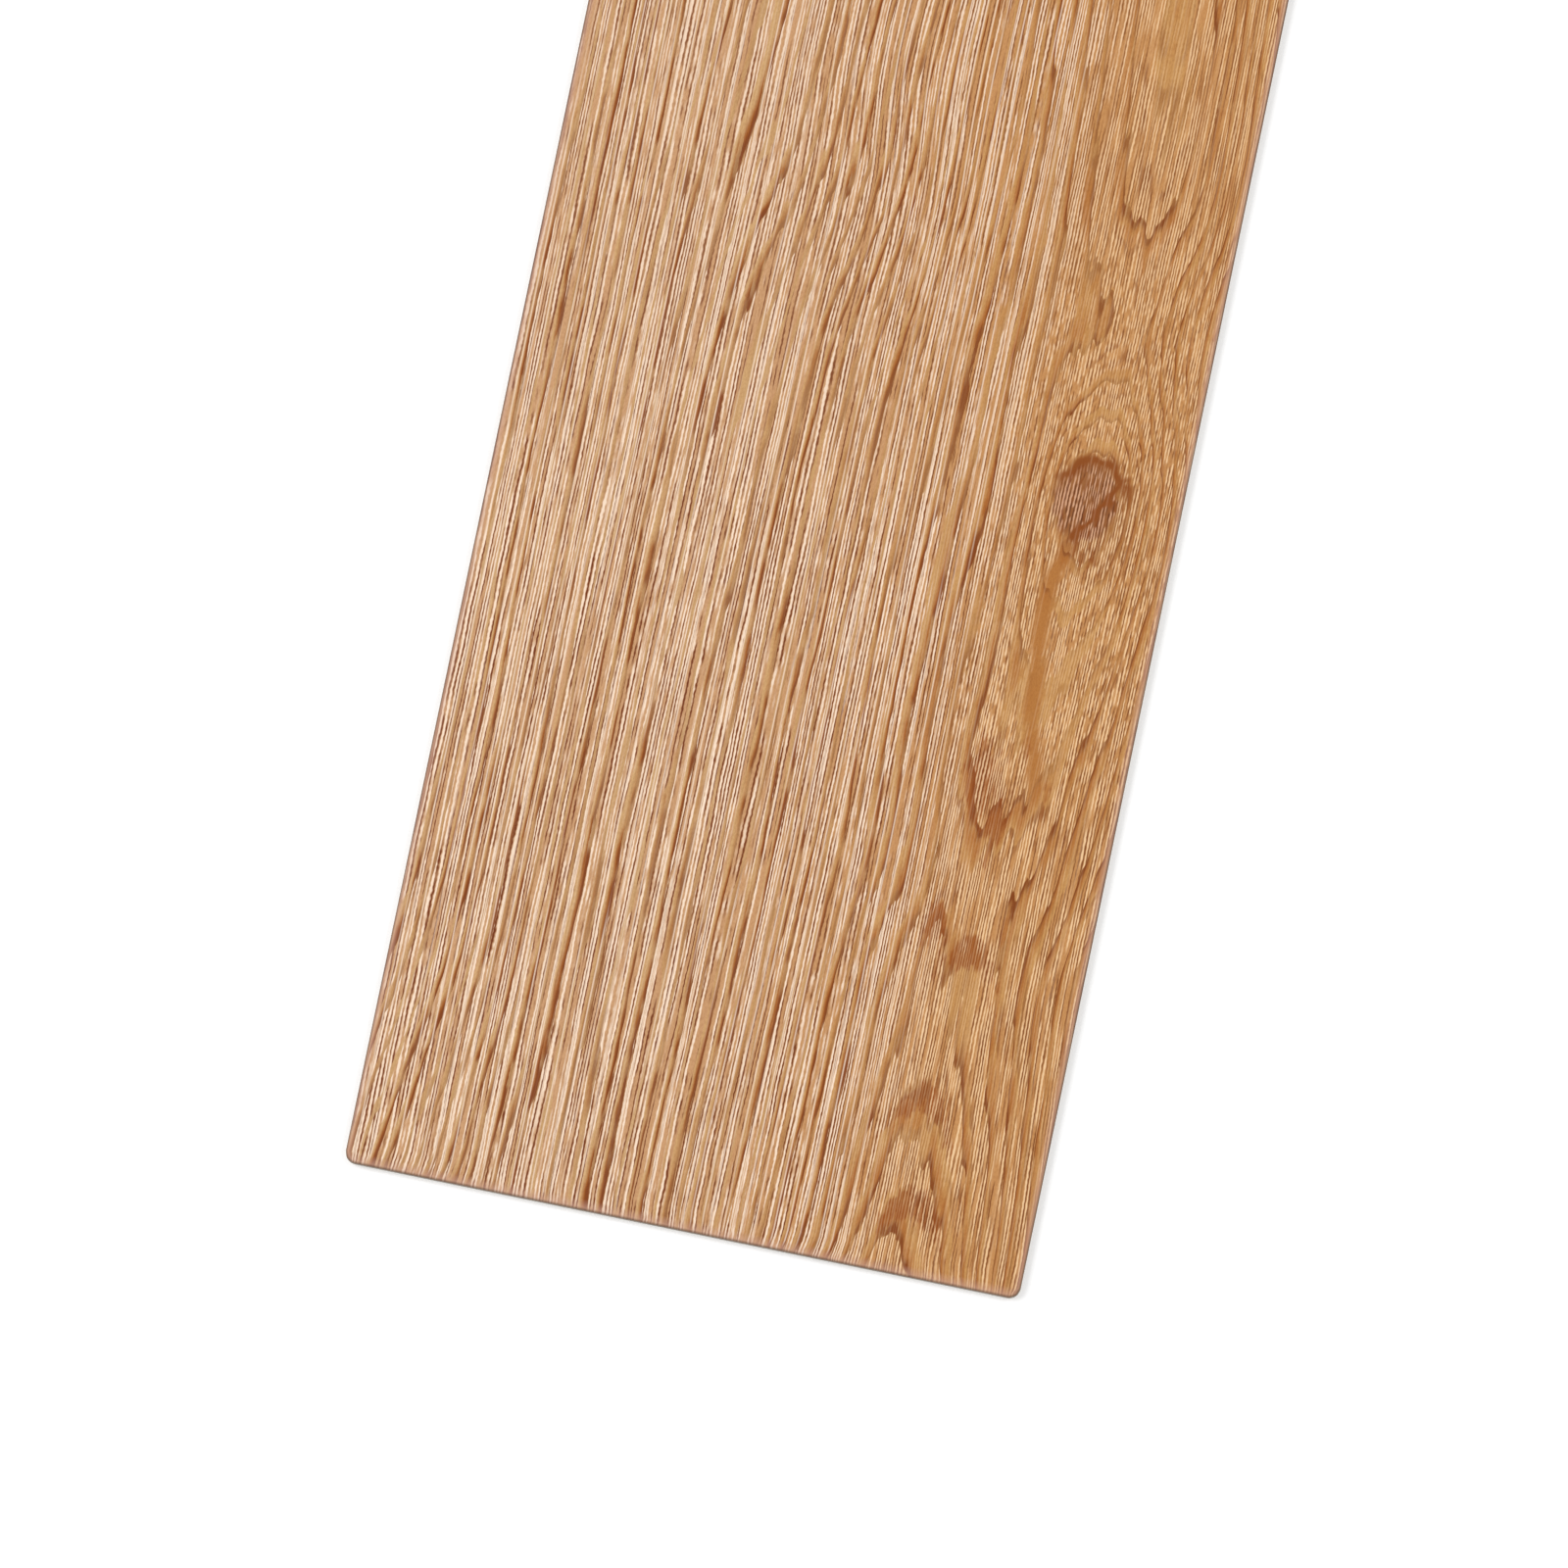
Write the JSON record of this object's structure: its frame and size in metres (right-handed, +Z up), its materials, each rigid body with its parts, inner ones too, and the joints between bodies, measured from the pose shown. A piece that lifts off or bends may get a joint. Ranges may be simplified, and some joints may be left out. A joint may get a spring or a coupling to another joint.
{
  "type": "self-adhesive vinyl floor plank",
  "caption": "Thin rectangular oak-look vinyl floor plank with a micro-bevelled face and peel-off release paper on its adhesive back.",
  "frame": {"origin": "middle of the release paper's underside, which is the plane the plank lies on", "axes": "+X across the plank's width, +Y along its length away from the end seen in the picture, +Z up out of the wear face"},
  "size_m": [0.1524, 0.9144, 0.0022],
  "materials": {
    "oak_vinyl": "satin",
    "release_paper": "matte"
  },
  "bodies": {
    "root": {"vinyl_plank": "oak_vinyl", "release_paper": "release_paper"}
  },
  "joints": []
}
